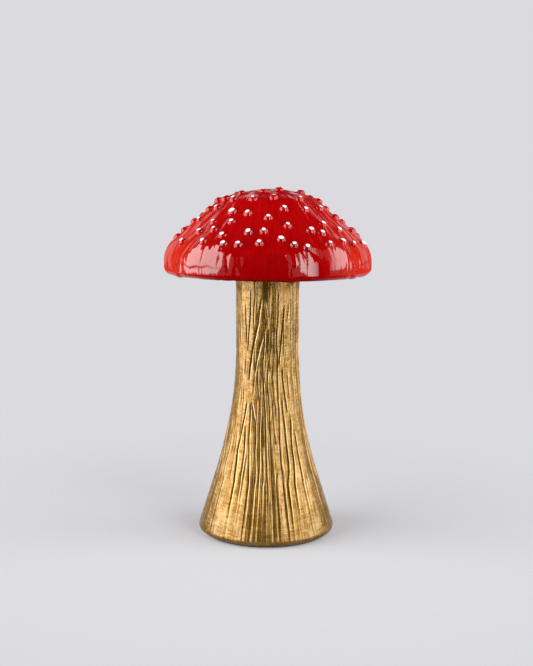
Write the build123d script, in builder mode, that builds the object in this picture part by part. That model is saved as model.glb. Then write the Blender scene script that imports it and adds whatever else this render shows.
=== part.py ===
from build123d import *
import os
from math import asin, atan2, cos, degrees, radians, sin, sqrt, tan

# Ceramic mushroom ornament: a hollow domed cap set with clay beads, cemented on the spigot of a hollow
# flared stem that stands on a felt pad. Millimetres, +Z up. The origin is on the table, under the middle of
# the foot, and the front faces -Y.

# Felt pad under the foot
pad_thickness = 1.5
pad_inset = 0.4

# Stem, from the top down: a straight neck, a long hollow flare, a straight skirt and a rounded foot
neck_radius = 27.3
neck_length = 64.5
waist_radius = 26.6
flare_radius = 390.0
skirt_angle = 17.6
skirt_height = 48.6
foot_round = 4.0
stem_wall = 5.5
pour_hole_radius = 15.0

# Carving: V grooves down the stem, with forks between them in its lower part, at these turns to the right of
# the front in degrees, repeated at the back. Every other one is shorter at both ends by the stagger.
groove_turns = [-73, -60, -43, -36, -20, -8, 1, 17, 30, 37, 50, 65, 79]
fork_turns = [-54, -29, -14, -4, 6, 11, 24, 44]
groove_width = 2.0
groove_depth = 0.8
groove_top_gap = 8.0
groove_foot_gap = 7.0
groove_stagger = 5.0
fork_length = 95.0

# Joint: the spigot on the stem stands in the collar of the cap, bedded in cement
seat_width = 7.3
spigot_length = 12.0
collar_wall = 5.0
cement_gap = 0.6
cement_bed = 0.7
cement_recess = 0.8

# Cap: a low crown, straight flanks, an upright side between round shoulder and rim, and a dished underside
cap_radius = 89.0
side_height = 21.5
flank_height = 42.5
brow_radius = 40.0
crown_radius = 100.0
brow_round = 26.0
shoulder_round = 23.5
rim_round = 4.8
underside_rise = 6.7
underside_land = 3.0
cap_wall = 5.0

# Beads in tiers: the turn to the right of the front and the rise above the rim, in degrees, both seen from
# the middle of the rim. The crown is set all round, and the lower tiers repeat their front half at the back.
bead_radius = 4.1
bead_height = 3.2
crown_places = [(-54, 68), (-11, 73), (34, 77), (93, 68), (152, 65), (-128, 63)]
front_tiers = {
    "brow_beads": [(-82, 55), (-65, 58), (-46, 58), (-19, 59), (7, 61), (40, 58), (84, 55)],
    "upper_flank_beads": [(-75, 47), (-60, 49), (-34, 46), (-18, 45), (15, 49), (37, 48), (61, 49)],
    "middle_flank_beads": [
        (-89, 35), (-69, 37), (-46, 36), (-29, 37), (0, 41), (14, 34), (45, 35), (78, 40),
    ],
    "lower_flank_beads": [
        (-89, 27), (-53, 28), (-40, 30), (-30, 26), (-13, 29), (-3, 30), (8, 24), (30, 30), (38, 28),
        (58, 30), (77, 27),
    ],
    "shoulder_beads": [
        (-80, 22), (-61, 20), (-41, 21), (-26, 20), (-17, 20), (-5, 21), (15, 20), (22, 18), (38, 20),
        (50, 21), (58, 19), (72, 18),
    ],
}
bead_tiers = {"crown_beads": crown_places}
for tier, places in front_tiers.items():
    bead_tiers[tier] = places + [(turn + 180, rise) for turn, rise in places]

# Stem sizes that follow
flare_height = flare_radius * sin(radians(skirt_angle))
flare_spread = flare_radius * (1 - cos(radians(skirt_angle)))
foot_radius = waist_radius + flare_spread + skirt_height * tan(radians(skirt_angle))
foot_flat_radius = foot_radius - foot_round / tan(radians(90 - skirt_angle) / 2)
spigot_radius = neck_radius - seat_width
socket_radius = spigot_radius + cement_gap
collar_radius = socket_radius + collar_wall
groove_slope = degrees(atan2(groove_depth, groove_width / 2))

# Levels above the table
foot_level = pad_thickness
waist_level = foot_level + skirt_height + flare_height
seat_level = waist_level + neck_length
spigot_top = seat_level + spigot_length
groove_top = seat_level - groove_top_gap
groove_bottom = foot_level + groove_foot_gap
fork_top = groove_bottom + fork_length
land_level = seat_level + cement_bed
rim_level = land_level - underside_rise
shoulder_level = rim_level + side_height
brow_level = shoulder_level + flank_height
crown_level = brow_level + crown_radius - sqrt(crown_radius**2 - brow_radius**2)

# The shoulder and the rim each turn within half of the cap's side, so that half limits their rounds
land_radius = neck_radius + underside_land
crown_turn = degrees(asin(brow_radius / crown_radius))
shoulder_turn = atan2(cap_radius - brow_radius, flank_height)
rim_turn = radians(90) + atan2(underside_rise, cap_radius - land_radius)
half_side = 0.499 * side_height
shoulder_fillet = min(shoulder_round, half_side / tan(shoulder_turn / 2))
rim_fillet = min(rim_round, half_side / tan(rim_turn / 2))

os.makedirs("parts", exist_ok=True)


def hollow_inside(profile, wall):
    """The half profile of the space left inside a half profile by a wall all round."""
    with BuildSketch(Plane.XZ) as hollow:
        add(profile)
        mirror(about=Plane.YZ)
        offset(amount=-wall)
        split(bisect_by=Plane.YZ, keep=Keep.TOP)
    return hollow.sketch


# Felt pad
with BuildPart() as base_pad:
    with BuildSketch(Plane.XY):
        Circle(foot_flat_radius - pad_inset)
    extrude(amount=pad_thickness)
base_pad.part.label = "base_pad"
export_step(base_pad.part, "parts/base_pad.step")

# Stem, hollow, with a spigot on top and the pour hole of its casting in the floor
with BuildSketch(Plane.XZ) as stem_profile:
    with BuildLine():
        Polyline(
            (0, foot_level),
            (0, spigot_top),
            (spigot_radius, spigot_top),
            (spigot_radius, seat_level),
            (neck_radius, seat_level),
            (waist_radius, waist_level),
        )
        flare = JernArc((waist_radius, waist_level), (0, -1), flare_radius, skirt_angle)
        Polyline(flare @ 1, (foot_radius, foot_level), (0, foot_level))
    make_face()
    fillet(stem_profile.vertices().sort_by_distance((foot_radius, foot_level))[0], foot_round)


def groove_cutter(top, bottom):
    """A bar of V section along the stem's side towards +X, between two levels."""
    with BuildPart() as cutter:
        with BuildSketch(Plane.XZ):
            with Locations((groove_width, 0)):
                add(stem_profile.sketch)
            with Locations((-groove_depth, 0)):
                add(stem_profile.sketch, mode=Mode.SUBTRACT)
            with Locations((foot_radius, (top + bottom) / 2)):
                Rectangle(2 * foot_radius, top - bottom, mode=Mode.INTERSECT)
        extrude(amount=groove_width / 2, both=True, taper=groove_slope)
    return cutter.part


grooves = []
for turns, top in [(groove_turns, groove_top), (fork_turns, fork_top)]:
    all_turns = turns + [turn + 180 for turn in turns]
    places = [Location((0, 0, 0), (0, 0, turn - 90)) for turn in all_turns]
    grooves.append((places[::2], groove_cutter(top, groove_bottom)))
    grooves.append((places[1::2], groove_cutter(top - groove_stagger, groove_bottom + groove_stagger)))

with BuildPart() as stem_shell:
    revolve(stem_profile.sketch, axis=Axis.Z)
    revolve(hollow_inside(stem_profile.sketch, stem_wall), axis=Axis.Z, mode=Mode.SUBTRACT)
    with BuildSketch(Plane.XY.offset(foot_level)):
        Circle(pour_hole_radius)
    extrude(amount=stem_wall, mode=Mode.SUBTRACT)
    for places, cutter in grooves:
        with Locations(*places):
            add(cutter, mode=Mode.SUBTRACT)
stem_shell.part.label = "stem_shell"
export_step(stem_shell.part, "parts/stem_shell.step")

# Cement, a sleeve round the spigot with a bed on the stem's seat
with BuildPart() as socket_cement:
    with BuildSketch(Plane.XZ):
        with BuildLine():
            Polyline(
                (spigot_radius, seat_level),
                (neck_radius - cement_recess, seat_level),
                (neck_radius - cement_recess, land_level),
                (socket_radius, land_level),
                (socket_radius, spigot_top),
                (spigot_radius, spigot_top),
                close=True,
            )
        make_face()
    revolve(axis=Axis.Z)
socket_cement.part.label = "socket_cement"
export_step(socket_cement.part, "parts/socket_cement.step")

# Cap, hollow, with a collar round its socket
with BuildSketch(Plane.XZ) as cap_profile:
    with BuildLine():
        CenterArc((0, crown_level - crown_radius), crown_radius, 90 - crown_turn, crown_turn)
        Polyline(
            (brow_radius, brow_level),
            (cap_radius, shoulder_level),
            (cap_radius, rim_level),
            (land_radius, land_level),
            (0, land_level),
            (0, crown_level),
        )
    make_face()
    fillet(cap_profile.vertices().sort_by_distance((brow_radius, brow_level))[0], brow_round)
    fillet(cap_profile.vertices().sort_by_distance((cap_radius, shoulder_level))[0], shoulder_fillet)
    fillet(cap_profile.vertices().sort_by_distance((cap_radius, rim_level))[0], rim_fillet)

with BuildPart() as cap_form:
    revolve(cap_profile.sketch, axis=Axis.Z)

with BuildPart() as cap_shell:
    add(cap_form.part)
    revolve(hollow_inside(cap_profile.sketch, cap_wall), axis=Axis.Z, mode=Mode.SUBTRACT)
    with BuildSketch(Plane.XY.offset(land_level)):
        Circle(collar_radius)
    extrude(amount=spigot_top - land_level)
    with BuildSketch(Plane.XY.offset(land_level)):
        Circle(socket_radius)
    extrude(amount=spigot_top - land_level, mode=Mode.SUBTRACT)
cap_shell.part.label = "cap_shell"
export_step(cap_shell.part, "parts/cap_shell.step")


def bead_place(turn, rise):
    """The plane through a bead's middle, facing out of the dome, for a turn and rise in degrees."""
    heading = Vector(sin(radians(turn)), -cos(radians(turn)), tan(radians(rise)))
    sight = Axis((0, 0, rim_level), heading)
    foot, outward = cap_form.part.shell().find_intersection_points(sight)[-1]
    return Plane(foot + outward * (bead_height - bead_radius), z_dir=outward)


# Beads, one node to a tier, each bead cut to the dome that it is stuck on
for tier, places in bead_tiers.items():
    with BuildPart() as beads:
        with Locations(*[bead_place(turn, rise) for turn, rise in places]):
            Sphere(bead_radius)
        add(cap_form.part, mode=Mode.SUBTRACT)
    beads.part.label = tier
    export_step(beads.part, f"parts/{tier}.step")
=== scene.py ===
import itertools
import math

import bmesh
import bpy
import numpy as np
from mathutils import Matrix, Vector


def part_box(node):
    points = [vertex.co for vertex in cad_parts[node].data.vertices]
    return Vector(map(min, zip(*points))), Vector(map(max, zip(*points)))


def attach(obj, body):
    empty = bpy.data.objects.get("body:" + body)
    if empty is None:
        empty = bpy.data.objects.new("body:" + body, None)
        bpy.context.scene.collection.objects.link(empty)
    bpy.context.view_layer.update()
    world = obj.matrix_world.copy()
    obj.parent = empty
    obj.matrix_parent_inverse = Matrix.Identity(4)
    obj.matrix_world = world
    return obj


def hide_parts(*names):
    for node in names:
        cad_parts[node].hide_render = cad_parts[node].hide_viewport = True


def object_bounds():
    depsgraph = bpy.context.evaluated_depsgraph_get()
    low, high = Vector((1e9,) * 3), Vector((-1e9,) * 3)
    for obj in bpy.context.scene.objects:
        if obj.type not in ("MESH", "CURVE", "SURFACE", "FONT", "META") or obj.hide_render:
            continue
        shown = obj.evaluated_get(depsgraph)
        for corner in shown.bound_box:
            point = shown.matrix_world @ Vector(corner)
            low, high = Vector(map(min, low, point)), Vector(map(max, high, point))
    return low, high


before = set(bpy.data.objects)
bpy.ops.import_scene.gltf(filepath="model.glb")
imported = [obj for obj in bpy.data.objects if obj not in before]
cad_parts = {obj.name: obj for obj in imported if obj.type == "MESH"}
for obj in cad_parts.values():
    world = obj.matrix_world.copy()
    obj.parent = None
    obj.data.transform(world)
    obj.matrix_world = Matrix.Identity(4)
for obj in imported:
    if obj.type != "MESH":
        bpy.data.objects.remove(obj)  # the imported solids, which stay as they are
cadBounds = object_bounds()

mm = 0.001  # lengths below are in millimetres, and meshes are made in metres
cornerPoints = 13  # along a rounded corner
arcCorners = 24  # along a long arc
endless = 400.0  # length of noise that hardly changes down a piece
scene = bpy.context.scene
scene.view_settings.view_transform = "Standard"


# Shapes

def unit(vector):
    return vector / np.linalg.norm(vector)


def fade(value, start, end):
    # 0 before start, 1 after end, eased between
    t = np.clip((value - start) / (end - start), 0, 1)
    return t * t * (3 - 2 * t)


def handNoise(points, seed):
    # smooth noise from -1 to 1 over points whose features are one unit wide
    span = 32  # units before it repeats
    lattice = np.random.default_rng(seed).uniform(-1, 1, (span, span, span))
    cell = np.floor(points).astype(int)
    near = points - cell
    near = near * near * (3 - 2 * near)
    total = np.zeros(points.shape[:-1])
    for corner in itertools.product((0, 1), repeat=3):
        weight = np.where(corner, near, 1 - near).prod(axis=-1)
        index = np.moveaxis((cell + corner) % span, -1, 0)
        total += weight * lattice[tuple(index)]
    return total


def layeredNoise(points, layers):
    # the sum of (width, length, height, seed) layers of noise, the length along the last coordinate
    return sum(
        height * handNoise(points / (width, width, length), seed) for width, length, height, seed in layers)


def roundedLine(corners):
    # a line through (radius, height, round) corners, with an arc in each rounded one
    line = []
    for index, (radius, height, rounding) in enumerate(corners):
        here = np.array((radius, height))
        if rounding == 0:
            line.append(here)
            continue
        back = unit(np.array(corners[index - 1][:2]) - here)
        ahead = unit(np.array(corners[index + 1][:2]) - here)
        half = math.acos(np.clip(back @ ahead, -1, 1)) / 2
        middle = here + unit(back + ahead) * rounding / math.sin(half)
        start = here + back * rounding / math.tan(half) - middle
        end = here + ahead * rounding / math.tan(half) - middle
        for part in np.linspace(0, 1, cornerPoints):
            line.append(middle + unit(start * (1 - part) + end * part) * rounding)
    return np.array(line)


def arcPoints(middle, radius, start, end):
    # corners along an arc, between two turns from straight up
    turns = np.linspace(start, end, arcCorners)
    return [(middle[0] + radius * math.sin(turn), middle[1] + radius * math.cos(turn), 0) for turn in turns]


def lengthsAlong(line):
    return np.concatenate(([0], np.cumsum(np.linalg.norm(np.diff(line, axis=0), axis=1))))


def evenSteps(line, step):
    # the same line with points a step apart
    lengths = lengthsAlong(line)
    marks = np.linspace(0, lengths[-1], max(2, round(lengths[-1] / step) + 1))
    return np.stack([np.interp(marks, lengths, line[:, axis]) for axis in (0, 1)], axis=1)


def outwardNormals(line):
    # the normals of a half outline that runs from the top, outside and down
    ahead = np.gradient(line, axis=0)
    ahead /= np.linalg.norm(ahead, axis=1, keepdims=True)
    return np.stack((-ahead[:, 1], ahead[:, 0]), axis=1)


def turnsOf(columns):
    return np.arange(columns) * 2 * math.pi / columns


def ringPoints(radius, height, turns):
    # rows of points round the axis, from the front to the right
    places = (radius * np.sin(turns), -radius * np.cos(turns), height + 0 * turns)
    return np.stack(np.broadcast_arrays(*places), axis=-1)


def latheMesh(name, line, turns, push):
    # a closed turned form: line runs from the axis round to the axis, push moves points along the normals
    normals = outwardNormals(line)
    radius = line[1:-1, :1] + normals[1:-1, :1] * push
    height = line[1:-1, 1:] + normals[1:-1, 1:] * push
    poles = np.array([(0, 0, line[0, 1]), (0, 0, line[-1, 1])])
    points = np.concatenate((ringPoints(radius, height, turns).reshape(-1, 3), poles)) * mm
    rows, columns = push.shape
    first = np.arange(rows * columns).reshape(rows, columns)
    beside = np.roll(first, -1, axis=1)
    quads = np.stack((first[:-1], first[1:], beside[1:], beside[:-1]), axis=-1).reshape(-1, 4)
    top, bottom = rows * columns, rows * columns + 1
    faces = quads.tolist()
    faces += [(top, a, b) for a, b in zip(first[0].tolist(), beside[0].tolist())]
    faces += [(bottom, b, a) for a, b in zip(first[-1].tolist(), beside[-1].tolist())]
    mesh = bpy.data.meshes.new(name)
    mesh.from_pydata(points.tolist(), [], faces)
    mesh.shade_smooth()
    return mesh


def paintPoints(mesh, name, values):
    # a value or a vector on each point, which the materials read
    kind, key = ("FLOAT", "value") if values.ndim == 1 else ("FLOAT_VECTOR", "vector")
    layer = mesh.attributes.new(name, kind, "POINT")
    layer.data.foreach_set(key, np.ascontiguousarray(values, np.float32).ravel())


def brushCoordinates(line, turns, radius):
    # distances round and down a turned form, joined at the back
    return ringPoints(radius, lengthsAlong(line)[:, None], turns)


def nearTurns(turns, places):
    # 1 at each of the (turn, reach) places in degrees, 0 away from them
    degrees = np.degrees(turns)
    near = [np.exp(-(((degrees - turn + 180) % 360 - 180) / reach) ** 2) for turn, reach in places]
    return np.max(near, axis=0)


def paintBrush(mesh, brush):
    ends = np.array([brush[0].mean(axis=0), brush[-1].mean(axis=0)])
    paintPoints(mesh, "brush", np.concatenate((brush[1:-1].reshape(-1, 3), ends)))


def newObject(name, data):
    made = bpy.data.objects.new(name, data)
    scene.collection.objects.link(made)
    return made


def placePiece(name, mesh, material, node):
    piece = newObject(name, mesh)
    mesh.materials.append(material)
    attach(piece, "root")
    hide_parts(node)


# Shading

class Shade:
    # a socket of a node tree, so that maths on it can be written as an expression
    def __init__(self, tree, outputs=(), name=0):
        self.tree, self.outputs = tree, outputs
        self.socket = outputs[name] if outputs else None

    def out(self, name):
        return Shade(self.tree, self.outputs, name)

    def node(self, kind, settings, sockets):
        made = self.tree.nodes.new(kind)
        for key, value in settings.items():
            setattr(made, key, value)
        for key, value in sockets.items():
            socket = made.inputs[key]
            if isinstance(value, Shade):
                self.tree.links.new(value.socket, socket)
            else:
                socket.default_value = (*value, 1) if socket.type == "RGBA" else value
        return Shade(self.tree, made.outputs)

    def maths(self, operation, left, right=0.0):
        return self.node("ShaderNodeMath", {"operation": operation}, {0: left, 1: right})

    def __add__(self, other):
        return self.maths("ADD", self, other)

    def __radd__(self, other):
        return self.maths("ADD", other, self)

    def __sub__(self, other):
        return self.maths("SUBTRACT", self, other)

    def __rsub__(self, other):
        return self.maths("SUBTRACT", other, self)

    def __mul__(self, other):
        return self.maths("MULTIPLY", self, other)

    def __rmul__(self, other):
        return self.maths("MULTIPLY", other, self)

    def ease(self, start, end):
        # 0 at start and 1 at end, eased between
        sockets = {"Value": self, "From Min": start, "From Max": end}
        return self.node("ShaderNodeMapRange", {"interpolation_type": "SMOOTHSTEP"}, sockets)

    def mixed(self, first, second):
        # first colour where this is 0, second where it is 1
        sockets = {"Factor": self, 6: first, 7: second}
        return self.node("ShaderNodeMix", {"data_type": "RGBA"}, sockets).out(2)

    def painted(self, name, output="Fac"):
        return self.node("ShaderNodeAttribute", {"attribute_name": name}, {}).out(output)

    def place(self):
        return self.node("ShaderNodeTexCoord", {}, {}).out("Object")

    def along(self, vector, axis):
        return self.node("ShaderNodeSeparateXYZ", {}, {"Vector": vector}).out(axis)

    def noise(self, coordinates, scale, detail=2.0, roughness=0.5):
        sockets = {"Vector": coordinates, "Scale": scale, "Detail": detail, "Roughness": roughness}
        return self.node("ShaderNodeTexNoise", {}, sockets)

    def stretched(self, coordinates, factors):
        return self.node("ShaderNodeVectorMath", {"operation": "MULTIPLY"}, {0: coordinates, 1: factors})

    def bumps(self, height, distance):
        return self.node("ShaderNodeBump", {}, {"Height": height, "Distance": distance})

    def surface(self, sockets):
        shader = self.node("ShaderNodeBsdfPrincipled", {}, sockets)
        self.node("ShaderNodeOutputMaterial", {}, {"Surface": shader})


def newMaterial(name):
    material = bpy.data.materials.new(name)
    material.use_nodes = True
    material.node_tree.nodes.clear()
    return material, Shade(material.node_tree)


def weighted(shares, *parts):
    return sum(share * part for share, part in zip(shares, parts))


# Cap glaze: a gloss red, streaked down the dome as it was brushed on, with painted light: lighter towards
# the brow and darker by the rim, lighter and warmer to the left and right

redGlaze = {
    "pooled": (0.250, 0.0004, 0.0008),
    # lighter red where the glaze is thin, and where the painted light falls
    "thinAndLitRed": (0.43, 0.0020, 0.0030),
    # lighter, warmer red of the painted light to the left and right
    "sideLitRed": (0.45, 0.0150, 0.0045),
    "bodyRoughness": 0.6,  # of the colour under the gloss
    "glossRoughness": 0.028,
    "glossIndex": 1.68,
    "dullDark": 0.5,  # how far the colour goes to the pooled one where there is no gloss
    "streakScale": 0.62,  # streaks to a millimetre round the cap
    "streakStretch": (1.0, 1.0, 0.09),
    "mottleScale": 130.0,
    "browLight": (0.236, 0.285),  # heights in metres between which the red grows lighter upwards, painted light from above
    "sideLight": (0.030, 0.080),  # distances to the left or right, in metres, between which it grows lighter and warmer, painted light from the side boxes
    "thinAndLightShares": (0.40, 0.40, 0.22, 0.25),  # how much streaks and mottle thin the glaze, and how much height and side add painted light
    "thinAndLightRange": (0.30, 0.75),  # sums of these at which it takes the pooled colour and the thin, lit one
}


def redGlazeNodes(shade, pooled, thinAndLitRed, sideLitRed):
    # colour of the glaze, for the cap and for the beads, with painted light lighter upwards and to the
    # sides, and how far to a side it is
    brush = shade.stretched(shade.painted("brush", "Vector"), redGlaze["streakStretch"])
    streaks = shade.noise(brush, redGlaze["streakScale"], detail=3.0, roughness=0.55)
    place = shade.place()
    mottle = shade.noise(place, redGlaze["mottleScale"], detail=3.0, roughness=0.6)
    # painted light from above: lighter towards the brow
    height = shade.along(place, "Z").ease(*redGlaze["browLight"])
    # painted light from the side boxes: lighter and warmer to the left and right
    side = shade.maths("ABSOLUTE", shade.along(place, "X")).ease(*redGlaze["sideLight"])
    thinnessAndLight = weighted(redGlaze["thinAndLightShares"], streaks, mottle, height, side).ease(*redGlaze["thinAndLightRange"])
    return thinnessAndLight.mixed(pooled, side.mixed(thinAndLitRed, sideLitRed)), side


def redGlazeMaterial():
    material, shade = newMaterial("redGlaze")
    colour, side = redGlazeNodes(shade, redGlaze["pooled"], redGlaze["thinAndLitRed"], redGlaze["sideLitRed"])
    gloss = shade.painted("gloss")
    dull = redGlaze["dullDark"] * (1 - gloss) * (1 - side)
    shade.surface({
        "Base Color": dull.mixed(colour, redGlaze["pooled"]),
        "Roughness": redGlaze["bodyRoughness"],
        "Specular IOR Level": 0.0,
        "Coat Weight": gloss,
        "Coat Roughness": redGlaze["glossRoughness"],
        "Coat IOR": redGlaze["glossIndex"],
    })
    return material


# Beads: clay dots under the same glaze, thicker there, each tip dotted with white

beadTiers = {
    "crownBeads": "crown_beads",
    "browBeads": "brow_beads",
    "upperFlankBeads": "upper_flank_beads",
    "middleFlankBeads": "middle_flank_beads",
    "lowerFlankBeads": "lower_flank_beads",
    "shoulderBeads": "shoulder_beads",
}
bead = {
    "radius": 4.1,
    "height": 3.2,
    "buried": 0.8,
    "underTurn": 0.12,  # radians that its round goes on under the glaze
    "footShare": 0.98,  # width of its buried foot, in parts of its last ring
    "unevenSize": 0.07,
    "unevenShape": 0.05,
    "rings": 14,
    "columns": 36,
    "tipAngle": (18.0, 33.0),  # degrees from the bead's axis, on the crown and on the shoulder
    "tipUneven": 0.10,
    "facingUp": (0.95, 0.55),  # how far up a bead faces on the crown and on the shoulder
    "tipRise": 7.0,  # degrees that the dots sit above the axis
    "tipLean": 38.0,  # degrees that dots at the sides lean to the front or back
    "facingSide": (0.88, 0.985),  # how far to a side a bead faces where the lean starts and is full
    "tipFront": -0.26,  # beads that face less to the front than this lean to the back
    "tipShift": 6.0,  # degrees that a dot may sit off its place
    "tipWobble": 0.16,
    "footTurn": 0.3,  # radians that the foot counts as beyond the last ring
    "floorDot": -9.0,  # the floor of a bead is this far outside its dot
    "meniscusHeight": 0.50,
    "meniscusReach": 1.4,
    "meniscusStart": 0.95,  # in parts of the bead's radius
    "meniscusEnd": 9.0,
    "seed": 41,
    "pooled": (0.20, 0.0004, 0.0008),
    # lighter red where the glaze is thin, and where the painted light falls
    "thinAndLitRed": (0.42, 0.0040, 0.0030),
}
tipWhite = {
    "colour": (0.92, 0.93, 0.96),
    "roughness": 0.16,
    "edge": 0.22,
    "raggedScale": 900.0,
    "ragged": 0.5,
}


def looseMiddles(node):
    # the middle of each separate solid in a node, in millimetres, in a fixed order
    whole = bmesh.new()
    whole.from_mesh(node.data)
    bmesh.ops.remove_doubles(whole, verts=whole.verts, dist=0.001 * mm)
    whole.verts.ensure_lookup_table()
    seen, middles = set(), []
    for start in whole.verts:
        if start.index in seen:
            continue
        seen.add(start.index)
        queue, points = [start], []
        while queue:
            point = queue.pop()
            points.append(point.co / mm)
            for edge in point.link_edges:
                other = edge.other_vert(point)
                if other.index not in seen:
                    seen.add(other.index)
                    queue.append(other)
        middles.append(np.mean(points, axis=0))
    whole.free()
    return sorted(middles, key=lambda middle: tuple(np.round(middle, 2)))


def beadSeats(node, line):
    # where each bead sits on the cap's outline, and its outward direction
    normals = outwardNormals(line)
    seats = []
    for middle in looseMiddles(node):
        radius = math.hypot(middle[0], middle[1])
        nearest = np.argmin(np.linalg.norm(line - (radius, middle[2]), axis=1))
        sideways = np.array((middle[0], middle[1], 0)) / radius
        outward = sideways * normals[nearest, 0] + np.array((0, 0, normals[nearest, 1]))
        offset = (radius - line[nearest, 0]) * normals[nearest, 0]
        offset += (middle[2] - line[nearest, 1]) * normals[nearest, 1]
        seats.append((middle - outward * offset, outward))
    return seats


def whiteDot(outward, side, rise, rng):
    # the reach of a bead's white dot and its shift off the axis, in radians
    level = fade(outward[2], *bead["facingUp"])
    small, large = np.radians(bead["tipAngle"])
    reach = (small + (large - small) * level) * (1 + bead["tipUneven"] * rng.normal())
    shift = rng.normal(0, math.radians(bead["tipShift"]) / 2, 2) + (0, math.radians(bead["tipRise"]))
    sideways = outward[:2] / np.linalg.norm(outward[:2])
    lean = math.radians(bead["tipLean"]) * fade(abs(sideways[0]), *bead["facingSide"]) * level
    facing = np.array((0, -1 if sideways[1] < bead["tipFront"] else 1, 0))
    return reach, shift + lean * np.array((facing @ side, facing @ rise))


def beadPoints(seat, outward, rng):
    # one bead as rings from its tip down into the cap, and how far inside its white dot each point is
    side = unit(np.cross(outward, (0, 0, 1)))
    rise = np.cross(side, outward)
    radius = bead["radius"] * (1 + bead["unevenSize"] * rng.normal())
    height = bead["height"] * (1 + bead["unevenSize"] * rng.normal())
    widest = math.acos(np.clip((radius - height) / radius, -1, 1)) + bead["underTurn"]
    angles = np.linspace(0, widest, bead["rings"])[1:]
    turns = turnsOf(bead["columns"])
    phase = rng.uniform(0, 2 * math.pi, 3)
    lumps = sum(np.cos(turns * k + phase[k - 2]) / k for k in (2, 3, 4))
    across = radius * np.sin(angles)[:, None] * (1 + bead["unevenShape"] * lumps * np.sin(angles)[:, None])
    up = height - radius + radius * np.cos(angles)[:, None] + 0 * turns
    across = np.vstack((across, across[-1] * bead["footShare"]))
    up = np.vstack((up, np.full(len(turns), -bead["buried"])))
    points = seat + across[..., None] * (side * np.cos(turns)[:, None] + rise * np.sin(turns)[:, None])
    points = points + up[..., None] * outward
    reach, shift = whiteDot(outward, side, rise, rng)
    wobble = 1 + bead["tipWobble"] * sum(np.cos(turns * k + phase[2 - k]) / k for k in (1, 2)) / 2
    away = np.append(angles, angles[-1] + bead["footTurn"])[:, None]
    flat = np.stack((away * np.cos(turns) - shift[0], away * np.sin(turns) - shift[1]))
    inside = (reach * wobble - np.hypot(*flat)) * radius
    tipInside = (reach - np.hypot(*shift)) * radius
    tip = seat + outward * height
    floor = seat - outward * bead["buried"]
    return points, tip, floor, inside, tipInside


def beadTierMesh(name, seats, rng):
    points, faces, inside = [], [], []
    columns = bead["columns"]
    for seat, outward in seats:
        rings, tip, floor, dot, tipDot = beadPoints(seat, outward, rng)
        start, rows = len(points), len(rings)
        points += rings.reshape(-1, 3).tolist() + [tip.tolist(), floor.tolist()]
        inside += dot.ravel().tolist() + [tipDot, bead["floorDot"]]
        tipPoint, floorPoint = start + rows * columns, start + rows * columns + 1
        for column in range(columns):
            here = start + column
            beside = start + (column + 1) % columns
            last = (rows - 1) * columns
            faces.append((tipPoint, here, beside))
            faces.append((floorPoint, beside + last, here + last))
            faces += [
                (here + row, here + row + columns, beside + row + columns, beside + row)
                for row in range(0, last, columns)
            ]
    points = np.array(points)
    mesh = bpy.data.meshes.new(name)
    mesh.from_pydata((points * mm).tolist(), [], faces)
    mesh.shade_smooth()
    paintPoints(mesh, "whiteDot", np.array(inside))
    paintPoints(mesh, "brush", points)
    return mesh


def beadGlazeMaterial():
    material, shade = newMaterial("beadGlaze")
    colour = redGlazeNodes(shade, bead["pooled"], bead["thinAndLitRed"], bead["thinAndLitRed"])[0]
    ragged = shade.noise(shade.place(), tipWhite["raggedScale"]) - 0.5
    white = shade.painted("whiteDot") + tipWhite["ragged"] * ragged
    white = white.ease(-tipWhite["edge"], tipWhite["edge"])
    glossy = redGlaze["glossRoughness"]
    shade.surface({
        "Base Color": white.mixed(colour, tipWhite["colour"]),
        "Roughness": glossy + (tipWhite["roughness"] - glossy) * white,
    })
    return material


# Cap

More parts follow.
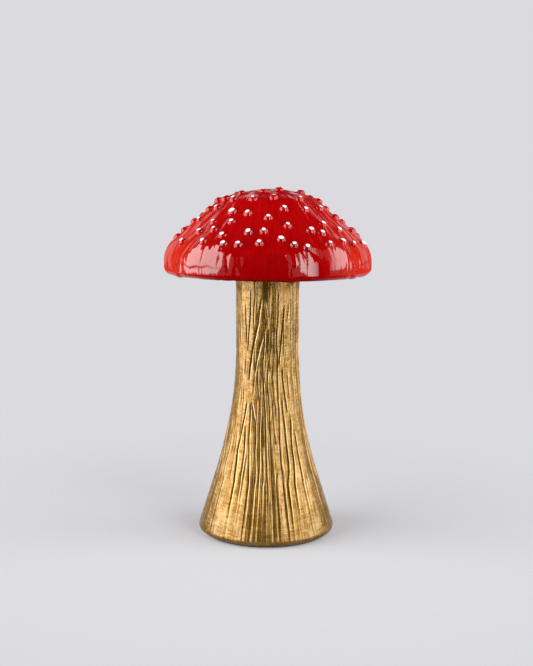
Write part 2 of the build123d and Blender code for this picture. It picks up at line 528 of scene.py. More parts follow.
cap = {
    "sideHeight": 21.5,
    "flankHeight": 42.5,
    "browRadius": 40.0,
    "crownRadius": 100.0,
    "browRound": 26.0,
    "shoulderRound": 23.5,
    "rimRound": 4.8,
    "undersideRise": 6.7,
    "landRadius": 30.3,
    "collarRadius": 25.6,
    "socketRadius": 20.6,
    "wall": 5.0,
    "step": 2.3,
    "sideStep": 0.9,
    "undersideStep": 5.0,
    "columns": 960,
    "rimRows": 8,  # rows in which the glaze's relief ends under the rim
    # layers of noise: width round the cap, length down it, height, and a seed
    "ripples": [
        (60.0, 60.0, 0.50, 3),
        (15.0, 26.0, 0.70, 5),
        (6.5, 16.0, 0.55, 7),
        (3.2, 10.0, 0.34, 11),
        (3.6, 5.5, 0.18, 13),
        (1.6, 12.0, 0.10, 15),
    ],
    "crownLumps": [(13.0, 13.0, 0.90, 17), (6.0, 6.0, 0.35, 19)],
    "crownEdge": (4.0, 30.0),  # radii between which the ripples set in
    # where the streaks of the side are strong, as turn and reach in degrees
    "strongStreaks": [
        (-56, 9), (-19, 9), (11, 7), (53, 8), (78, 12), (-80, 12), (130, 25), (-130, 25), (180, 20),
    ],
    "calmStrength": 0.16,
    "strongRise": 8.0,  # this far above the shoulder they are strong all round
    # where runs of thick glaze end above the rim, as turn and reach in degrees
    "runs": [(-43, 12), (62, 10), (118, 16), (-150, 20), (-100, 12)],
    "runLevel": 11.0,
    "runWaves": [(7.0, endless, 2.2, 23), (3.0, endless, 0.88, 29)],  # layers for the runs' edge
    "runRound": 0.8,
    "runBody": (34.0, 18.0),  # heights above the rim between which a run grows thick
    "runHeight": 0.45,
    "runLine": 0.85,  # half the width of the dull line along a run's edge
    "runDull": 0.95,
    "runSharp": 1.6,
    # layers that break up the gloss: streaks, and wrinkles on the crown
    "glossStreaks": [(4.6, 26.0, 0.40, 35), (2.1, 17.0, 0.45, 31), (1.2, 9.0, 0.35, 37)],
    "glossWrinkles": [(7.0, 7.0, 0.6, 43), (3.0, 3.0, 0.4, 47)],
    "glossCrown": (20.0, 45.0),  # radii between which wrinkles give way to streaks
    "brokenShare": (-0.55, 0.06),  # how far they break it up where calm and strong
    "glossEdge": (-0.03, 0.06),
    "leastGloss": 0.06,
    "undersideGloss": 0.45,
    # how high above the rim the gloss starts, by turn in degrees
    "glossFoot": [
        (-180, 5), (-62, 6), (-52, 5), (-29, 5), (-22, 13), (-14, 17), (0, 12), (10, 14), (15, 11), (20, 6),
        (24, 2), (28, 2), (31, 8), (46, 9), (60, 8), (180, 5),
    ],
    "footBlur": 0.8,
    "fingers": [(2.4, endless, 6.0, 53)],  # layers for its lower edge
    "rimGloss": (4.2, 2.6),  # the rim's round is glossy below these heights, more so to the sides
    "rimGlossSide": (0.35, 0.70),
    "dullGaps": [(30.5, 5)],  # where the side has no gloss, as turn and reach in degrees
    "gapSharp": 1.4,
    "gapTop": (36.0, 28.0),  # heights above the rim between which such a gap opens
    "dullSide": (62.0, 88.0),  # the gloss weakens between these distances to the left or right
    "sideDull": 0.5,
}


def capOutline():
    # the outside from the crown to the socket, then the inside back to the axis
    low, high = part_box("cap_shell")
    crown, radius = high.z / mm, high.x / mm
    # the rim's round ends a little above its corner
    slope = math.atan2(cap["undersideRise"], radius - cap["landRadius"])
    rim = low.z / mm - cap["rimRound"] * (math.tan(slope) + 1 / math.cos(slope) - 1)
    land = rim + cap["undersideRise"]
    shoulder = rim + cap["sideHeight"]
    brow = shoulder + cap["flankHeight"]
    wall, bend = cap["wall"], cap["crownRadius"]
    flankTurn = math.atan2(cap["flankHeight"], radius - cap["browRadius"])
    # the brow's arc touches the crown's arc from inside and the straight flank
    ahead = np.array((math.cos(flankTurn), -math.sin(flankTurn)))
    outward = np.array((math.sin(flankTurn), math.cos(flankTurn)))
    crownMiddle = np.array((0, crown - bend))
    start = np.array((cap["browRadius"], brow)) - outward * cap["browRound"]
    toStart = start - crownMiddle
    reach = bend - cap["browRound"]
    along = toStart @ ahead
    browMiddle = start - ahead * (along + math.sqrt(along ** 2 - toStart @ toStart + reach ** 2))
    browTurn = math.atan2(*(browMiddle - crownMiddle))
    arcs = arcPoints(crownMiddle, bend, 0, browTurn)
    arcs += arcPoints(browMiddle, cap["browRound"], browTurn, flankTurn)[1:]
    dome = roundedLine(arcs + [
        (radius, shoulder, cap["shoulderRound"]),
        (radius, rim, cap["rimRound"]),
        (cap["landRadius"], land, 0),
    ])
    dome = evenSteps(dome, cap["sideStep"])
    high = dome[:, 1] > shoulder + cap["shoulderRound"] / 4
    under = (dome[:, 1] < land + cap["sideStep"]) & (dome[:, 0] < radius - 2 * cap["rimRound"])
    underside = evenSteps(dome[under], cap["undersideStep"])
    dome = np.vstack((evenSteps(dome[high], cap["step"]), dome[~high & ~under]))
    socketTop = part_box("socket_cement")[1].z / mm
    inside = np.array([
        (cap["socketRadius"], land),
        (cap["socketRadius"], socketTop),
        (cap["collarRadius"], socketTop),
        (cap["collarRadius"], land + wall),
        (cap["landRadius"] + wall, land + wall),
        (radius - wall, rim + wall),
        (radius - wall, shoulder - wall / 2),
        (cap["browRadius"] - wall / 2, brow - wall),
        (0, crown - wall),
    ])
    return np.vstack((dome, underside, inside)), len(dome)


def glossPaint(line, brush, flatPlace, turns, strength, rim, runEdge):
    # how glossy each point is: broken up by streaks, dull along the runs' edges and below a dripping edge
    height = line[:, 1:] - rim
    flank = fade(line[:, :1], *cap["glossCrown"])
    breaks = flank * layeredNoise(brush, cap["glossStreaks"])
    breaks += (1 - flank) * layeredNoise(flatPlace, cap["glossWrinkles"])
    calm, strong = cap["brokenShare"]
    whole = fade(breaks - calm - (strong - calm) * strength, *cap["glossEdge"])
    degrees = np.degrees((turns + math.pi) % (2 * math.pi) - math.pi)
    foot = np.interp(degrees, *np.array(cap["glossFoot"]).T)
    foot = foot + strength * layeredNoise(brush, cap["fingers"])
    onRun = np.exp(-((line[:, 1:] - runEdge) / cap["runLine"]) ** 2) * nearTurns(turns, cap["runs"])
    run = cap["runDull"] * np.clip(cap["runSharp"] * onRun, 0, 1)
    gap = np.clip(cap["gapSharp"] * nearTurns(turns, cap["dullGaps"]), 0, 1) * fade(height, *cap["gapTop"])
    gloss = whole * fade(height, foot - cap["footBlur"], foot + cap["footBlur"]) * (1 - run) * (1 - gap)
    onRim = fade(height, *cap["rimGloss"]) * fade(np.abs(np.sin(turns)), *cap["rimGlossSide"])
    gloss = cap["leastGloss"] + (1 - cap["leastGloss"]) * np.maximum(gloss, onRim)
    return gloss * (1 - cap["sideDull"] * fade(np.abs(flatPlace[..., 0]), *cap["dullSide"]))


def capMesh(seats):
    line, domeRows = capOutline()
    turns = turnsOf(cap["columns"])
    radius = line[:, 0].max()
    brush = brushCoordinates(line, turns, radius)
    flatPlace = ringPoints(line[:, :1], line[:, 1:], turns)
    rim = line[:domeRows, 1].min()
    shoulder = rim + cap["sideHeight"]
    under = fade(np.arange(len(line)), domeRows - cap["rimRows"], domeRows)[:, None]
    # ripples crowd together towards the crown, so they grow lower and fade out there
    spread = (fade(line[:, 0], *cap["crownEdge"]) * line[:, 0] / radius)[:, None]
    strength = cap["calmStrength"] + (1 - cap["calmStrength"]) * nearTurns(turns, cap["strongStreaks"])
    strength = strength + (1 - strength) * fade(line[:, 1:], shoulder, shoulder + cap["strongRise"])
    push = spread * strength * layeredNoise(brush, cap["ripples"])
    push += (1 - spread) * layeredNoise(flatPlace, cap["crownLumps"])
    # a thick run of glaze ends in a wavy edge above the rim, in places
    edge = rim + cap["runLevel"] + layeredNoise(brush, cap["runWaves"])
    thinEnd, thickEnd = cap["runBody"]
    above = fade(line[:, 1:], edge - cap["runRound"], edge + cap["runRound"])
    above = above * fade(line[:, 1:], rim + thinEnd, rim + thickEnd)
    push += cap["runHeight"] * nearTurns(turns, cap["runs"]) * above * spread
    # glaze creeps up round each bead
    for seat, _ in seats:
        away = np.linalg.norm(flatPlace - seat, axis=-1) - bead["radius"] * bead["meniscusStart"]
        creep = bead["meniscusHeight"] * np.exp(-np.clip(away, 0, None) / bead["meniscusReach"])
        push += creep * (away < bead["meniscusEnd"])
    push *= 1 - under
    mesh = latheMesh("capGlaze", line, turns, push[1:-1])
    paintBrush(mesh, brush)
    gloss = glossPaint(line, brush, flatPlace, turns, strength, rim, edge)
    gloss += (cap["undersideGloss"] - gloss) * under
    paintPoints(mesh, "gloss", np.concatenate((gloss[1:-1].ravel(), (1, cap["leastGloss"]))))
    return mesh


# Stem: carved clay under a satin gold

gold = {
    "ridge": (0.352, 0.208, 0.051),
    "hollow": (0.152, 0.067, 0.005),
    # dark in the cuts, and the colour the painted shade under the cap goes to
    "groove": (0.074, 0.030, 0.004),
    "lip": (0.54, 0.370, 0.125),  # painted highlight on the raised lips beside the cuts
    "metallic": 0.94,
    "roughness": (0.31, 0.43),
    "grooveRoughness": 0.12,  # added in the cuts
    "coat": 1.0,  # on the crests, none in the cuts
    "coatRoughness": 0.16,
    "edgeTint": (0.92, 0.72, 0.46),
    "scratchScale": 1.1,
    "scratchStretch": (1.0, 1.0, 0.06),  # down the stem
    "wrinkleScale": 0.62,
    "wrinkleStretch": (0.33, 0.33, 1.0),  # across it
    "grainScale": 760.0,
    "patchScale": 110.0,
    "relief": 0.70,  # of the clay under the gold
    "reliefShares": (0.38, 0.34, 0.28),  # of scratches, wrinkles and grain
    "toneShares": (0.7, 0.3, -0.20),  # of relief, patches and the depth of the carving, so the lips beside the cuts, where that depth is negative, grow paler as painted highlight
    "toneRange": (0.36, 0.65),  # sums of these at which the gold is as in a hollow and on a ridge; the paler ridge colour is partly wear and partly painted highlight
    "lipHighlightRange": (0.15, 0.75),
    "grooveRange": (0.15, 0.65),
    "shadeUnderCap": (0.205, 0.218),  # heights in metres between which the gold darkens under the cap: painted shade of the cap, with some dirt
    "shadeUnderCapShares": (1.7, -0.50),  # how fast this painted shade darkens over the patches, and from where
}
stem = {
    "neckRadius": 27.3,
    "neckLength": 64.5,
    "waistRadius": 26.6,
    "flareRadius": 390.0,
    "skirtAngle": 17.6,
    "skirtHeight": 48.6,
    "footRound": 4.0,
    "spigotRadius": 20.0,
    "wall": 5.5,
    "pourHoleRadius": 15.0,
    "footLand": 12.0,  # width of the flat under it
    "footZone": 6.0,  # height of the finer steps above the foot
    "insideFoot": 14.3,  # from the foot's edge in to the corner of the hollow
    "flarePoints": 40,
    "step": 2.3,
    "footStep": 1.3,
    "columns": 900,
    # layers of noise: width round the stem, length down it, height, and a seed
    "lumps": [(4.0, 34.0, 0.40, 83), (1.7, 22.0, 0.16, 85), (18.0, 30.0, 0.35, 89)],
    "plainTop": (4.0, 0.5),  # all relief ends between these distances under the seat
    "plainFoot": 5.0,  # and this far above the foot
    "grooveDepth": 0.70,
    "grooveWidth": (0.90, 1.25),  # at the neck and at the foot, of the right wall
    "steepWall": 0.62,  # width of the left wall in parts of the right one
    "lipHeight": 0.22,
    "lipPlace": (1.35, 0.45),  # distance from the cut and half width, in widths of the right wall
    "lipEnd": (0.15, 0.0),  # depth of a cut where lips end, and where they are whole
    "crest": 0.40,  # how far the strips' backs stand out
    "stripBulge": 0.55,
    "stripWidth": 2.9,  # how far the strips between cuts take to level out
    "shallowAway": 3.0,  # a cut of no depth counts as this much farther off
    "wobble": 0.45,  # how far a cut strays from its line
    "wobbleLength": 11.0,
    "waver": 0.12,  # a cut loses up to twice this share of its depth here and there
    "waverRate": 4,  # wavers to a stray
    "unlike": 7.31,  # keeps one cut's strays unlike the next one's
    "straySeeds": (71, 79),
    "smoothRows": 3,  # rows on each side over which a cut's corners are smoothed
    "taper": 6.0,  # how far a cut takes to run out at its ends
    "footBand": (5.0, 14.0),  # cuts end this far above the foot
    "topBand": (7.0, 14.0),  # and start this far under the seat
    "seed": 64,
    # full cuts on the sides and the back, as turns in degrees to the right of the front
    "backTurns": [65, 79, 93, 107, 120, 137, 144, 160, 172, 181, 197, 210, 217, 230, 245, 259, 273],
    "backForks": [72, 86, 100, 114, 126, 151, 166, 176, 186, 191, 204, 224, 238, 252, 266],
    "backDrift": 1.4,  # degrees
    "backDepth": (0.75, 1.0),
    "backPoints": 7,
    "forkTop": (85.0, 120.0),
    "forkSpread": 4.0,  # degrees that a fork starts to a side
    "forkLength": 25.0,
    "forkDrift": 0.7,  # degrees
    "forkDepth": (0.7, 0.95),
    "backSlants": 16,
    "slantTurns": (70.0, 290.0),
    "slantTop": (12.0, 80.0),  # under the seat
    "slantLength": (28.0, 60.0),
    "slantLean": (-0.5, 0.4),  # degrees to a millimetre
    "slantDepth": (0.7, 1.0),
    "fineCuts": 90,  # shallow short ones all round
    "fineDepth": (0.35, 0.60),
    "fineLength": (20.0, 60.0),
    "fineDrift": 1.5,  # degrees
}
# cuts on the front: how deep, then the turn and height of each point, from the top down
frontCuts = [
    (1.0, [(-80, 77), (-78, 54), (-74, 41), (-72, 27), (-73, 14)]),
    (1.0, [(-77, 101), (-74, 82), (-68, 64), (-62, 43), (-60, 24), (-62, 15)]),
    (1.0, [(-62, 106), (-59, 80), (-60, 60), (-55, 35), (-54, 9)]),
    (0.9, [(-42, 52), (-43, 40), (-44, 27), (-44, 11)]),
    (1.0, [(-34, 121), (-39, 94), (-42, 79), (-38, 48), (-37, 10)]),
    (0.8, [(-32, 96), (-31, 60), (-29, 28), (-30, 12)]),
    (1.0, [(-28, 121), (-25, 85), (-20, 50), (-20, 28), (-21, 17), (-20, 5)]),
    (1.0, [(-27, 121), (-22, 111), (-17, 97), (-14, 64), (-13, 44), (-14, 5)]),
    (1.0, [(-17, 150), (-16, 130), (-10, 111), (-11, 93), (-9, 59), (-9, 6)]),
    (0.9, [(-5, 81), (-4, 55), (-4, 28), (-6, 14)]),
    (0.8, [(-6, 207), (-2, 198), (0, 187), (-1, 179)]),
    (1.0, [(-4, 182), (-8, 153), (-8, 141), (-3, 113), (0, 63), (2, 27)]),
    (0.8, [(4, 24), (4, 5)]),
    (0.9, [(9, 170), (2, 152), (0, 140), (3, 119), (6, 67), (6, 30)]),
    (0.8, [(7, 146), (10, 134), (13, 114)]),
    (0.8, [(8, 123), (10, 101), (12, 82)]),
    (0.8, [(12, 63), (11, 41), (10, 15)]),
    (1.0, [
        (18, 213), (19, 196), (15, 172), (18, 160), (19, 134), (18, 74), (20, 55), (17, 40), (16, 18),
        (18, 5),
    ]),
    (1.0, [(30, 203), (30, 193), (25, 168), (20, 148)]),
    (0.6, [(21, 40), (20, 21)]),
    (1.0, [(24, 124), (27, 99), (27, 62), (24, 51), (25, 28), (23, 5)]),
    (0.8, [(28, 150), (28, 136), (33, 114), (35, 107)]),
    (1.0, [(39, 108), (36, 91), (36, 70), (32, 49), (30, 23), (30, 5)]),
    (0.6, [(37, 147), (38, 134), (40, 117)]),
    (0.9, [(44, 96), (44, 77), (46, 60), (42, 40), (44, 19), (44, 9)]),
    (1.0, [(36, 52), (37, 28), (38, 7)]),
    (0.9, [(46, 53), (49, 36), (51, 8)]),
    (0.7, [(66, 62), (66, 32), (65, 12)]),
    (1.0, [(-30, 216), (-33, 195), (-35, 183), (-39, 161)]),
    (0.6, [(-44, 205), (-42, 186), (-42, 166)]),
    (0.5, [(-52, 202), (-51, 183)]),
    (0.7, [(-60, 208), (-58, 172), (-56, 160)]),
    (0.6, [(-73, 201), (-74, 178)]),
    (0.7, [(-42, 157), (-43, 140)]),
    (0.7, [(-52, 138), (-56, 105)]),
    (1.0, [(-9, 209), (-15, 197), (-19, 182), (-27, 163), (-33, 144), (-33, 135)]),
    (1.0, [(-6, 180), (-14, 164), (-21, 149), (-23, 142)]),
    (0.8, [(40, 206), (40, 197), (35, 184)]),
    (0.5, [(47, 205), (48, 167), (47, 154)]),
]


def stemOutline():
    # the outside from the spigot to the pour hole, then the inside back to the axis
    low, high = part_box("stem_shell")
    foot, top = low.z / mm, high.z / mm
    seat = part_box("socket_cement")[0].z / mm
    angle, bend = math.radians(stem["skirtAngle"]), stem["flareRadius"]
    waist, waistLevel = stem["waistRadius"], seat - stem["neckLength"]
    flare = [
        (waist + bend - bend * math.cos(turn), waistLevel - bend * math.sin(turn), 0)
        for turn in np.linspace(0, angle, stem["flarePoints"])
    ]
    footRadius = flare[-1][0] + stem["skirtHeight"] * math.tan(angle)
    side = roundedLine(
        [(stem["neckRadius"], seat, 0)] + flare
        + [(footRadius, foot, stem["footRound"]), (footRadius - stem["footLand"], foot, 0)])
    upper = side[:, 1] > foot + stem["footZone"]
    carved = evenSteps(side[upper], stem["step"])
    edge = evenSteps(side[~upper], stem["footStep"])
    wall, hole, spigot = stem["wall"], stem["pourHoleRadius"], stem["spigotRadius"]
    halfWay = flare[len(flare) // 2]
    above = np.array([(0, top), (spigot, top), (spigot, seat)])
    below = np.array([
        (hole, foot),
        (hole, foot + wall),
        (footRadius - stem["insideFoot"], foot + wall),
        (flare[-1][0] - wall, flare[-1][1]),
        (halfWay[0] - wall, halfWay[1]),
        (waist - wall, waistLevel),
        (stem["neckRadius"] - wall, seat - wall),
        (spigot - wall, seat),
        (spigot - wall, top - wall),
        (0, top - wall),
    ])
    return np.vstack((above, carved, edge, below)), len(above), len(carved), len(edge)


def backCuts(seat, foot, rng):
    # cuts on the sides and the back: full ones, forks between them and slanted ones, and fine ones all round
    cuts = []
    levels = np.linspace(1, 0, stem["backPoints"])
    for turn in stem["backTurns"]:
        top, bottom = seat - rng.uniform(*stem["topBand"]), foot + rng.uniform(*stem["footBand"])
        strays = np.cumsum(rng.normal(0, stem["backDrift"] / 2, len(levels)))
        points = [(turn + stray, bottom + (top - bottom) * level) for stray, level in zip(strays, levels)]
        cuts.append((rng.uniform(*stem["backDepth"]), points))
    for turn in stem["backForks"]:
        top, bottom = rng.uniform(*stem["forkTop"]), foot + rng.uniform(*stem["footBand"])
        start = turn + rng.choice((-1, 1)) * stem["forkSpread"]
        depth = rng.uniform(*stem["forkDepth"])
        end = turn + rng.normal(0, stem["forkDrift"])
        cuts.append((depth, [(start, top), (turn, top - stem["forkLength"]), (end, bottom)]))
    for _ in range(stem["backSlants"]):
        turn, top = rng.uniform(*stem["slantTurns"]), seat - rng.uniform(*stem["slantTop"])
        length, depth = rng.uniform(*stem["slantLength"]), rng.uniform(*stem["slantDepth"])
        end = turn + rng.uniform(*stem["slantLean"]) * length
        cuts.append((depth, [(turn, top), (end, top - length)]))
    for _ in range(stem["fineCuts"]):
        turn, length = rng.uniform(-180, 180), rng.uniform(*stem["fineLength"])
        bottom = rng.uniform(foot + stem["footBand"][0], seat - stem["topBand"][0] - length)
        depth = rng.uniform(*stem["fineDepth"])
        start = turn + rng.normal(0, stem["fineDrift"])
        cuts.append((depth, [(start, bottom + length), (turn, bottom)]))
    return cuts


def carvedPush(carved, turns, rng):
    # how far the carving moves each point of the side, and its depth in a cut, negative on a lip
    radius, height = carved[:, :1], carved[:, 1:]
    seat, foot = height[0, 0], height.min()
    neckWidth, footWidth = stem["grooveWidth"]
    width = neckWidth + (footWidth - neckWidth) * fade(radius, stem["waistRadius"], stem["waistRadius"] * 2)
    lipAway, lipHalf = stem["lipPlace"]
    straySeed, waverSeed = stem["straySeeds"]
    rows = stem["smoothRows"]
    even = np.ones(2 * rows + 1) / (2 * rows + 1)
    cut = np.zeros((len(carved), len(turns)))
    lip = np.zeros_like(cut)
    nearest = np.full_like(cut, np.inf)
    for key, (depth, points) in enumerate(frontCuts + backCuts(seat, foot, rng)):
        places, levels = np.array(points[::-1], float).T
        path = np.interp(height[:, 0], levels, places)
        path = np.convolve(np.pad(path, rows, mode="edge"), even, mode="valid")
        strays = np.zeros((len(carved), 3)) + (0, stem["unlike"] * key, 0)
        strays[:, 0] = height[:, 0] / stem["wobbleLength"]
        wobble = stem["wobble"] * handNoise(strays, straySeed)[:, None]
        turnAt = np.radians(path)[:, None] + wobble / radius
        depthAt = depth * fade(height, levels[0], levels[0] + stem["taper"])
        depthAt = depthAt * (1 - fade(height, levels[-1] - stem["taper"], levels[-1]))
        wavers = handNoise(strays * (stem["waverRate"], 1, 1), waverSeed)[:, None]
        depthAt = depthAt * (1 - stem["waver"] + stem["waver"] * wavers)
        away = ((turns - turnAt + math.pi) % (2 * math.pi) - math.pi) * radius
        lip = np.maximum(lip, depthAt * np.exp(-((away / width - lipAway) / lipHalf) ** 2))
        away = np.where(away > 0, away, -away / stem["steepWall"])
        cut = np.maximum(cut, depthAt * np.clip(1 - away / width, 0, 1))
        nearest = np.minimum(nearest, away + stem["shallowAway"] * (1 - depthAt))
    lip = stem["lipHeight"] * lip * fade(cut, *stem["lipEnd"])
    bulge = stem["stripBulge"] * np.clip(1 - nearest / stem["stripWidth"], 0, 1) ** 2
    return stem["crest"] + lip - stem["grooveDepth"] * cut - bulge, cut - lip / stem["lipHeight"]


def stemMesh():
    line, aboveRows, carvedRows, edgeRows = stemOutline()
    turns = turnsOf(stem["columns"])
    side = slice(aboveRows, aboveRows + carvedRows + edgeRows)
    height = line[side, 1:]
    seat, foot = height[0, 0], height.min()
    push, depth = carvedPush(line[side], turns, np.random.default_rng(stem["seed"]))
    brush = brushCoordinates(line, turns, stem["waistRadius"])
    push += layeredNoise(brush[side], stem["lumps"])
    start, end = stem["plainTop"]
    push *= (1 - fade(height, seat - start, seat - end)) * fade(height, foot, foot + stem["plainFoot"])
    whole, carve = np.zeros((2, len(line), len(turns)))
    whole[side], carve[side] = push, depth
    mesh = latheMesh("stemCarving", line, turns, whole[1:-1])
    paintPoints(mesh, "carve", np.concatenate((carve[1:-1].ravel(), (0, 0))))
    paintBrush(mesh, brush)
    return mesh


def goldLustreMaterial():
    material, shade = newMaterial("goldLustre")
    brush = shade.painted("brush", "Vector")
    place = shade.place()
    scratches = shade.noise(shade.stretched(brush, gold["scratchStretch"]), gold["scratchScale"])
    wrinkles = shade.noise(shade.stretched(brush, gold["wrinkleStretch"]), gold["wrinkleScale"])
    grain = shade.noise(place, gold["grainScale"])
    patches = shade.noise(place, gold["patchScale"], detail=4.0, roughness=0.65)
    carve = shade.painted("carve")
    relief = weighted(gold["reliefShares"], scratches, wrinkles, grain)
    tone = weighted(gold["toneShares"], relief, patches, carve).ease(*gold["toneRange"])
    # paler where the relief stands high: partly wear, partly painted highlight
    crest = tone.mixed(gold["hollow"], gold["ridge"])
    # painted shade under the cap, mottled by the patches, with some dirt; it takes the gold towards the
    # groove colour
    shadeUnderCap = shade.along(place, "Z").ease(*gold["shadeUnderCap"])
    patchShare, plainShare = gold["shadeUnderCapShares"]
    groovesAndShade = (carve + shadeUnderCap * (patchShare * patches + plainShare)).ease(*gold["grooveRange"])
    # painted highlight: a paler gold on the lips beside the cuts, where the carving is negative
    colour = (-1 * carve).ease(*gold["lipHighlightRange"]).mixed(crest, gold["lip"])
    low, high = gold["roughness"]
    rough = low + (high - low) * (0.5 * grain + 0.5 * patches)
    shade.surface({
        "Base Color": groovesAndShade.mixed(colour, gold["groove"]),
        "Roughness": rough + gold["grooveRoughness"] * groovesAndShade,
        "Normal": shade.bumps(relief, gold["relief"] * mm),
        "Metallic": gold["metallic"],
        "Specular Tint": gold["edgeTint"],
        "Coat Weight": gold["coat"] * tone * (1 - groovesAndShade),
        "Coat Roughness": gold["coatRoughness"],
    })
    return material


# Felt pad and cement

felt = {
    "colour": (0.05, 0.035, 0.028),
    "pale": (0.09, 0.07, 0.058),
    "fibreScale": 1400.0,
    "clumpScale": 220.0,
    "paleShares": (0.6, 0.4),  # of fibres and clumps
    "paleRange": (0.3, 0.7),
    "roughness": 0.95,
    "sheen": 0.3,
    "nap": 0.25,  # relief of the fibres
    "edgeRound": 0.5,
    "edgeZone": 1.5,  # width of the finer steps
    "step": 2.0,
    "columns": 240,
    "fuzz": 0.10,
    "fuzzSize": (1.7, 1.7, 0.8),
    "fuzzZone": 2.0,
    "seed": 97,
}
cement = {
    "pale": (0.60, 0.58, 0.55),
    "dark": (0.42, 0.40, 0.37),
    "paleRange": (0.3, 0.7),
    "sandScale": 1100.0,
    "sandRelief": 0.15,
    "roughness": 0.9,
}


def feltMesh():
    low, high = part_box("base_pad")
    bottom, top, radius = low.z / mm, high.z / mm, high.x / mm
    outline = roundedLine([
        (0, top, 0), (radius, top, felt["edgeRound"]), (radius, bottom, felt["edgeRound"]), (0, bottom, 0)])
    line = evenSteps(outline, felt["step"])
    edge = evenSteps(outline[1:-1], felt["edgeRound"] / 3)
    inner = line[line[:, 0] < radius - felt["edgeZone"]]
    upper = inner[:, 1] > (top + bottom) / 2
    line = np.vstack((inner[upper], edge, inner[~upper]))
    turns = turnsOf(felt["columns"])
    brush = brushCoordinates(line, turns, radius)
    push = felt["fuzz"] * (handNoise(brush / felt["fuzzSize"], felt["seed"]) - 1)
    push = push * fade(line[:, :1], radius - felt["fuzzZone"], radius)
    return latheMesh("footFelt", line, turns, push[1:-1])


def feltMaterial():
    material, shade = newMaterial("footFelt")
    place = shade.place()
    fibres = shade.noise(place, felt["fibreScale"], detail=4.0, roughness=0.7)
    clumps = shade.noise(place, felt["clumpScale"], detail=3.0, roughness=0.6)
    paleness = weighted(felt["paleShares"], fibres, clumps).ease(*felt["paleRange"])
    shade.surface({
        "Base Color": paleness.mixed(felt["colour"], felt["pale"]),
        "Roughness": felt["roughness"],
        "Normal": shade.bumps(fibres, felt["nap"] * mm),
        "Sheen Weight": felt["sheen"],
    })
    return material


def cementMaterial():
    material, shade = newMaterial("jointCement")
    sand = shade.noise(shade.place(), cement["sandScale"], detail=4.0, roughness=0.65)
    shade.surface({
        "Base Color": sand.ease(*cement["paleRange"]).mixed(cement["dark"], cement["pale"]),
        "Roughness": cement["roughness"],
        "Normal": shade.bumps(sand, cement["sandRelief"] * mm),
    })
    return material


# Studio: a pale surround and floor, with a black flag in front and overhead that the camera can't see

studio = {
    "backdrop": (0.705, 0.700, 0.738),
    "flagColour": (0.006, 0.006, 0.006),
    "flagRadius": 2.4,
    "flagFront": (0.25, 0.52),  # the flag thins out between these, to the back and downwards from the top
    "flagTop": (0.58, 0.84),
    "floorColour": (0.590, 0.593, 0.608),
    "floorRadius": 1.1,
    "floorFade": (0.03, 0.42),
    "floorCover": 0.80,
    # softboxes: middle, width, height (metres), the point each faces, and radiance
    "softboxes": {
        "leftBox": ((-1.05, -0.58, 0.70), 1.83, 1.64, (0.0, -0.58, 0.70), 4.5),
        "rightBox": ((0.754, -0.868, 0.81), 0.54, 1.86, (0.0, 0.0, 0.81), 5.2),
        "rightSideBox": ((1.10, -0.05, 0.75), 0.80, 1.74, (0.0, 0.0, 0.75), 3.8),
    },
}
camera = {
    "place": (-0.00073, -0.9954, 0.3124),
    "pitchDown": 7.869,
    "roll": 0.394,
    "focalPixels": 1159.5,
    "imageHeight": 666,
    "sensor": 36.0,
}


def setCamera():
    data = bpy.data.cameras.new("photoCamera")
    data.sensor_fit, data.sensor_height = "VERTICAL", camera["sensor"]
    data.lens = camera["focalPixels"] * camera["sensor"] / camera["imageHeight"]
    eye = newObject("photoCamera", data)
    tilt = Matrix.Rotation(math.radians(90 - camera["pitchDown"]), 4, "X")
    roll = Matrix.Rotation(math.radians(camera["roll"]), 4, "Z")
    eye.matrix_world = Matrix.Translation(camera["place"]) @ tilt @ roll
    scene.camera = eye


def setWorld():
    world = bpy.data.worlds.new("paleStudio")
    scene.world = world
    world.use_nodes = True
    world.node_tree.nodes.clear()
    shade = Shade(world.node_tree)
    light = shade.node("ShaderNodeBackground", {}, {"Color": studio["backdrop"]})
    shade.node("ShaderNodeOutputWorld", {}, {"Surface": light})


def stagePiece(name, form):
    # a piece of the studio with a new material, from a mesh that form makes
    mesh = bpy.data.meshes.new(name)
    shape = bmesh.new()
    form(shape)
    shape.to_mesh(mesh)
    shape.free()
    piece = newObject(name, mesh)
    material, shade = newMaterial(name)
    mesh.materials.append(material)
    return piece, shade


def mattOver(shade, cover, colour):
    # a matt colour that covers what is behind it by a share
    matt = shade.node("ShaderNodeBsdfDiffuse", {}, {"Color": colour})
    clear = shade.node("ShaderNodeBsdfTransparent", {}, {})
    mixed = shade.node("ShaderNodeMixShader", {}, {0: cover, 1: clear, 2: matt})
    shade.node("ShaderNodeOutputMaterial", {}, {"Surface": mixed})


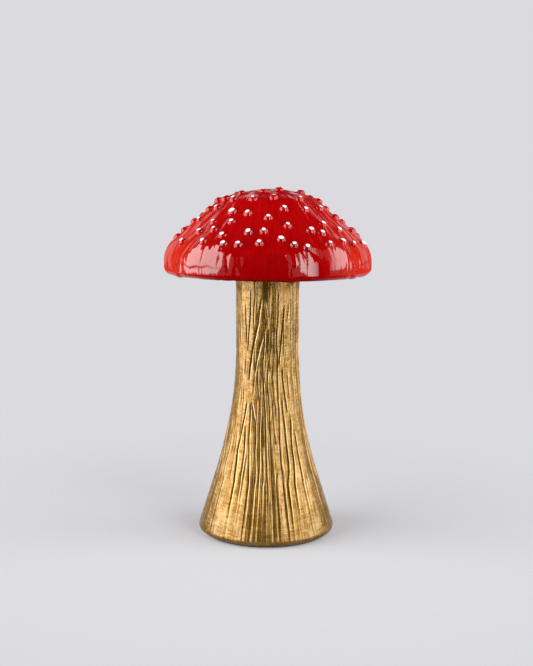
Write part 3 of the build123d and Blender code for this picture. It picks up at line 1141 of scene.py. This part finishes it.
def setFlag():
    radius = studio["flagRadius"]
    flag, shade = stagePiece("blackFlag", lambda shape: bmesh.ops.create_uvsphere(
        shape, u_segments=64, v_segments=32, radius=radius))
    flag.visible_camera = False
    place = shade.stretched(shade.place(), (1 / radius, 1 / radius, 1 / radius))
    back = shade.along(place, "Y").ease(*studio["flagFront"])
    top = shade.along(place, "Z").ease(*studio["flagTop"])
    mattOver(shade, 1 - back * (1 - top), studio["flagColour"])


def setFloor():
    floor, shade = stagePiece("paleFloor", lambda shape: bmesh.ops.create_circle(
        shape, cap_ends=True, segments=96, radius=studio["floorRadius"]))
    floor.location.z = cadBounds[0].z
    away = shade.node("ShaderNodeVectorMath", {"operation": "LENGTH"}, {0: shade.place()}).out("Value")
    mattOver(shade, studio["floorCover"] * (1 - away.ease(*studio["floorFade"])), studio["floorColour"])


def setSoftboxes():
    for name, (middle, width, height, target, radiance) in studio["softboxes"].items():
        data = bpy.data.lights.new(name, "AREA")
        data.shape, data.size, data.size_y = "RECTANGLE", width, height
        data.energy = radiance * math.pi * width * height
        box = newObject(name, data)
        box.location = middle
        facing = Vector(target) - Vector(middle)
        box.rotation_euler = facing.to_track_quat("-Z", "Y").to_euler()
        box.visible_camera = False


setCamera()
setWorld()
setFlag()
setFloor()
setSoftboxes()
print("studio set")

capLine, domeRows = capOutline()
beadRng = np.random.default_rng(bead["seed"])
beadMaterial = beadGlazeMaterial()
allSeats = []
for pieceName, nodeName in beadTiers.items():
    seats = beadSeats(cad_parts[nodeName], capLine[:domeRows])
    allSeats += seats
    placePiece(pieceName, beadTierMesh(pieceName, seats, beadRng), beadMaterial, nodeName)
print("beads set:", len(allSeats))

placePiece("capGlaze", capMesh(allSeats), redGlazeMaterial(), "cap_shell")
print("cap glazed")

placePiece("stemCarving", stemMesh(), goldLustreMaterial(), "stem_shell")
print("stem carved")

placePiece("footFelt", feltMesh(), feltMaterial(), "base_pad")
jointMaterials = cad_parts["socket_cement"].data.materials
jointMaterials.clear()
jointMaterials.append(cementMaterial())
print("felt and cement set")
